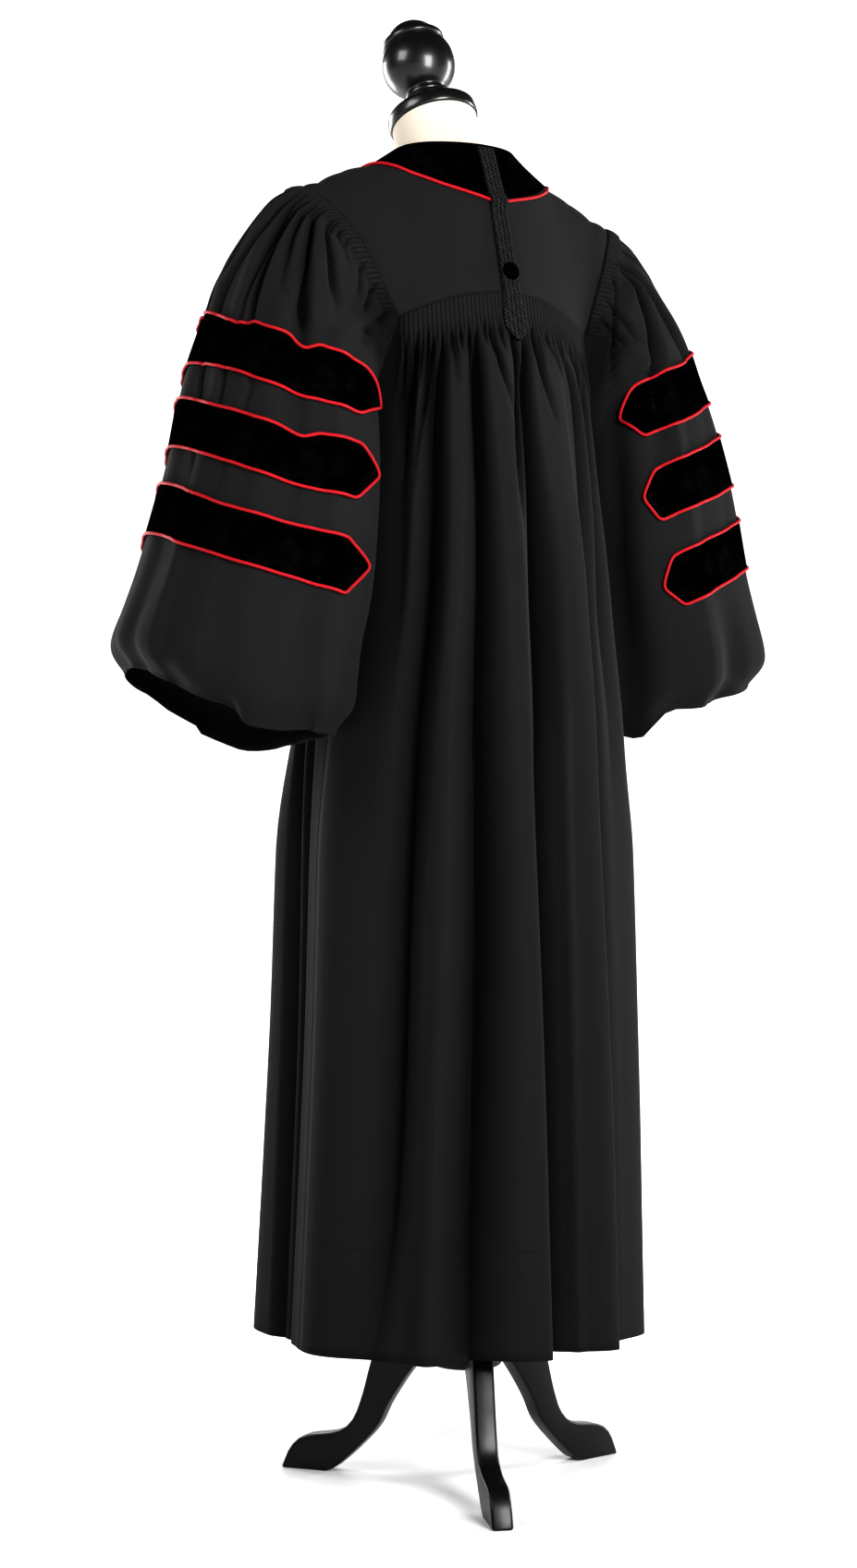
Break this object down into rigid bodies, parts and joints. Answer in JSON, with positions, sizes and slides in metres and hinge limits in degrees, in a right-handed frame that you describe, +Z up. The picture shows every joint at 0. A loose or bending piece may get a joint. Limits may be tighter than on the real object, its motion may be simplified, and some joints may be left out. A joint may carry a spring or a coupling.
{
  "type": "clergy robe on a limbless dress form with stand",
  "caption": "Black robe worn on a limbless dress form: fluted back and wide bell sleeves, velvet collar and sleeve bars with red piping, ivory neck, turned finial and flared legs.",
  "frame": {"origin": "centre of the bounding box on the floor, under the stand's soles", "axes": "+Z up from the soles to the finial, +X towards the wearer's left, -Y towards the robe's front"},
  "size_m": [0.8152, 0.461, 1.6971],
  "materials": {
    "robe_cloth": "matte black twill",
    "velvet": "deep black velvet",
    "piping": "satin red piping",
    "braid": "matte black braid",
    "form_cover": "smooth ivory cover",
    "black_lacquer": "gloss black lacquer",
    "black_stand": "satin black paint"
  },
  "bodies": {
    "root": {"back": "robe_cloth", "back_button": "velvet", "back_strap": "braid", "bar_left_1": "velvet", "bar_left_2": "velvet", "bar_left_3": "velvet", "bar_piping_left_1": "piping", "bar_piping_left_2": "piping", "bar_piping_left_3": "piping", "bar_piping_right_1": "piping", "bar_piping_right_2": "piping", "bar_piping_right_3": "piping", "bar_right_1": "velvet", "bar_right_2": "velvet", "bar_right_3": "velvet", "collar": "velvet", "collar_piping": "piping", "column": "black_stand", "dress_form": "form_cover", "finial": "black_lacquer", "front_left": "robe_cloth", "front_right": "robe_cloth", "hub": "black_stand", "leg_1": "black_stand", "leg_2": "black_stand", "leg_3": "black_stand", "neck_cap": "black_lacquer", "sleeve_left": "robe_cloth", "sleeve_right": "robe_cloth", "yoke": "robe_cloth"}
  },
  "joints": []
}
